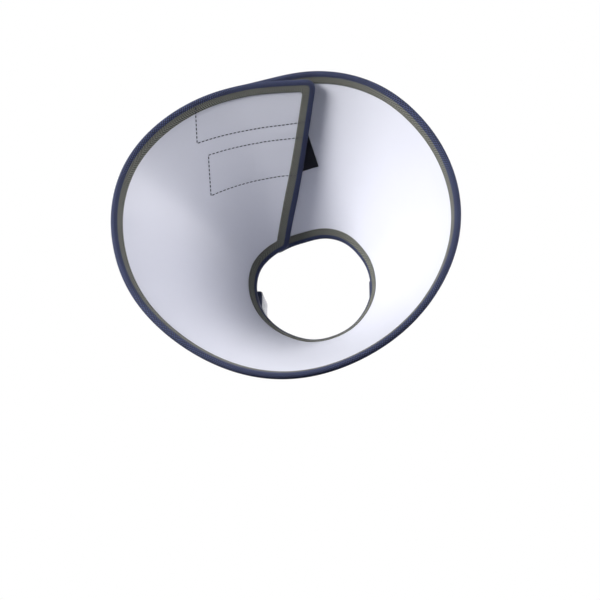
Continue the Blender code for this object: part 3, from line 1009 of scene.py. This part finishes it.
def neck_loop(name, place, turn):
    """A loop of webbing that hangs from the neck edge."""
    radial = Vector((math.cos(turn), 0.0, math.sin(turn)))
    back = Vector((0.0, 1.0, 0.0))
    sideways = back.cross(radial)
    line = loop_outline(LOOP_LENGTH - WEBBING_THICKNESS, LOOP_DEPTH - WEBBING_THICKNESS)
    along = run_lengths(line)
    half = LOOP_WIDTH / 2
    rows = steps(-half, half, LOOP_ROWS)
    points = [[place + back * point.x + radial * point.y + sideways * row
               for point in line] for row in rows]
    flat = [[(run, row + half) for run in along] for row in rows]
    mesh = bpy.data.meshes.new(name)
    band = bmesh.new()
    places = band.loops.layers.uv.new("flat")
    count = len(line) - 1
    verts = [[band.verts.new(points[row][column]) for column in range(count)]
             for row in range(len(rows))]
    for row in range(len(rows) - 1):
        for column in range(count):
            corners = ((row, column), (row, column + 1), (row + 1, column + 1),
                       (row + 1, column))
            face = band.faces.new([verts[i][j % count] for i, j in corners])
            for loop, (i, j) in zip(face.loops, corners):
                loop[places].uv = flat[i][j]
    bmesh.ops.recalc_face_normals(band, faces=band.faces)
    band.to_mesh(mesh)
    band.free()
    made = add_piece(name, mesh, WEBBING)
    solid = made.modifiers.new("thickness", "SOLIDIFY")
    solid.thickness = WEBBING_THICKNESS
    solid.offset = 0.0
    soft = made.modifiers.new("soft edges", "BEVEL")
    soft.width = WEBBING_SOFT_EDGE
    soft.segments = 2
    apply_modifiers(made)
    return made


def loop_tab(number, angle, part_name):
    """The loop's sewn end, flat on the shell, with its box of stitches."""
    low = NECK_SLANT + BINDING_OUTER_LEG + GAP
    half = LOOP_WIDTH / 2
    rows = steps(0.0, LOOP_TAB_LENGTH, LOOP_ROWS)
    columns = steps(-half, half, TAB_COLUMNS)

    def place(across, up):
        """The place on the wall across from the tab's middle and up from its low end."""
        slant = low + up
        return angle + math.degrees(across / (slant * SIDE)), slant

    points = [[wall_point(*place(across, up), OUTER_FACE) for across in columns]
              for up in rows]
    flat = [[(up, across + half) for across in columns] for up in rows]
    name = "neck_loop_tab_" + str(number)
    made = cloth(name + "_webbing", points, flat, WEBBING_THICKNESS, 1.0, WEBBING)
    place_piece(made, part_name, "webbing", name)
    near, far = TAB_SEAM_INSET, LOOP_TAB_LENGTH - TAB_SEAM_INSET
    wide = half - TAB_SEAM_SIDE_INSET
    box = [(-wide, near), (wide, near), (wide, far), (-wide, far), (-wide, near), (wide, far)]
    cross = [(wide, near), (-wide, far)]
    for ending, corners in (("_box_stitches", box), ("_cross_stitches", cross)):
        route = []
        for first, last in zip(corners, corners[1:]):
            for share in steps(0.0, 1.0, TAB_SEAM_STEPS):
                route.append(place(first[0] + (last[0] - first[0]) * share,
                                   first[1] + (last[1] - first[1]) * share))
        sewn = stitches(name + ending, [route[0]] + [b for a, b in zip(route, route[1:])
                                                     if a != b],
                        lambda spot: OUTER_FACE + WEBBING_THICKNESS, 1, EDGE_STITCH,
                        CROSS_PITCH, NAVY_THREAD)
        place_piece(sewn, part_name, "thread")


joints = {joint["name"]: joint for joint in frame["joints"]}
for number, angle in enumerate(NECK_LOOP_ANGLES, start=1):
    name = "neck_loop_" + str(number)
    hinge = Vector(joints[name + "_swing"]["pos_m"])
    made = neck_loop(name + "_webbing", hinge, math.radians(angle))
    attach(made, name)
    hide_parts(name)
    loop_tab(number, angle, "wing" if angle > WING_HINGE else "base")

# ---- Floor, light and camera ---------------------------------------------------------

TARGET = Vector((0.0109, -0.150, -0.0907))
DISTANCE = 1.6
AZIMUTH = math.radians(11.24)
ELEVATION = math.radians(-28.52)
SENSOR = 36.0
SPAN = 0.600                   # metres seen across the frame at the target
FLOOR_DEPTH = -0.95
LAMP_SPREAD = math.radians(45)
SURROUND_LIGHT = 0.11


def studio_floor():
    """A wide pale floor, well below the collar, that throws no light up into it."""
    bpy.ops.object.select_all(action="DESELECT")
    bpy.ops.mesh.primitive_plane_add(size=14.0, location=(0.0, 0.0, FLOOR_DEPTH))
    floor = bpy.context.object
    floor.name = "studio_floor"
    finish = Finish("pale_floor", 0.9, Emission_Color=(1.0, 1.0, 1.0, 1.0),
                    Emission_Strength=0.72)
    places = finish.node("ShaderNodeTexCoord", {}, {}).outputs["Object"]
    grain = finish.noise(places, 3.0)
    colour = finish.blend(grain, (0.86, 0.86, 0.87), (0.90, 0.90, 0.90))
    floor.data.materials.append(finish.done(colour, None, grain, 0.0005))
    floor.visible_diffuse = False
    floor.visible_glossy = False


def soft_light(name, place, aim, size, power, colour):
    """A large soft lamp that looks at a point."""
    lamp = bpy.data.lights.new(name, "AREA")
    lamp.shape = "DISK"
    lamp.size = size
    lamp.spread = LAMP_SPREAD
    lamp.energy = power
    lamp.color = colour
    made = bpy.data.objects.new(name, lamp)
    made.location = place
    made.rotation_euler = (aim - made.location).to_track_quat("-Z", "Y").to_euler()
    bpy.context.scene.collection.objects.link(made)


def studio():
    """A white surround, a key lamp at the left, a fill at the right and one behind."""
    world = bpy.data.worlds.new("pale_surround")
    bpy.context.scene.world = world
    world.use_nodes = True
    nodes, links = world.node_tree.nodes, world.node_tree.links
    sky = nodes["Background"]
    sky.inputs["Color"].default_value = (0.80, 0.87, 1.0, 1.0)
    sky.inputs["Strength"].default_value = SURROUND_LIGHT
    backdrop = nodes.new("ShaderNodeBackground")
    backdrop.inputs["Color"].default_value = (1.0, 1.0, 1.0, 1.0)
    seen = nodes.new("ShaderNodeLightPath")
    share = nodes.new("ShaderNodeMixShader")
    links.new(seen.outputs["Is Camera Ray"], share.inputs[0])
    links.new(sky.outputs[0], share.inputs[1])
    links.new(backdrop.outputs[0], share.inputs[2])
    links.new(share.outputs[0], nodes["World Output"].inputs["Surface"])
    aim = Vector((0.0, -0.08, 0.0))
    soft_light("key_light", Vector((-1.5, -1.4, 0.45)), aim, 0.9, 5.1, (1.0, 0.99, 0.97))
    soft_light("fill_light", Vector((1.76, -0.70, 0.36)), aim, 0.9, 2.5,
               (1.0, 0.99, 1.0))
    soft_light("back_light", Vector((0.5, 2.2, 1.0)), aim, 1.4, 14.0, (1.0, 1.0, 1.0))


def set_camera():
    """A long lens from below and in front, looking up into the cone."""
    away = Vector((math.sin(AZIMUTH) * math.cos(ELEVATION),
                   -math.cos(AZIMUTH) * math.cos(ELEVATION), math.sin(ELEVATION)))
    lens = bpy.data.cameras.new("camera")
    lens.sensor_width = SENSOR
    lens.lens = SENSOR * DISTANCE / SPAN
    lens.clip_end = 30.0
    made = bpy.data.objects.new("camera", lens)
    made.location = TARGET + away * DISTANCE
    made.rotation_euler = (-away).to_track_quat("-Z", "Y").to_euler()
    bpy.context.scene.collection.objects.link(made)
    bpy.context.scene.camera = made


studio_floor()
studio()
set_camera()
bpy.context.scene.view_settings.view_transform = "Standard"
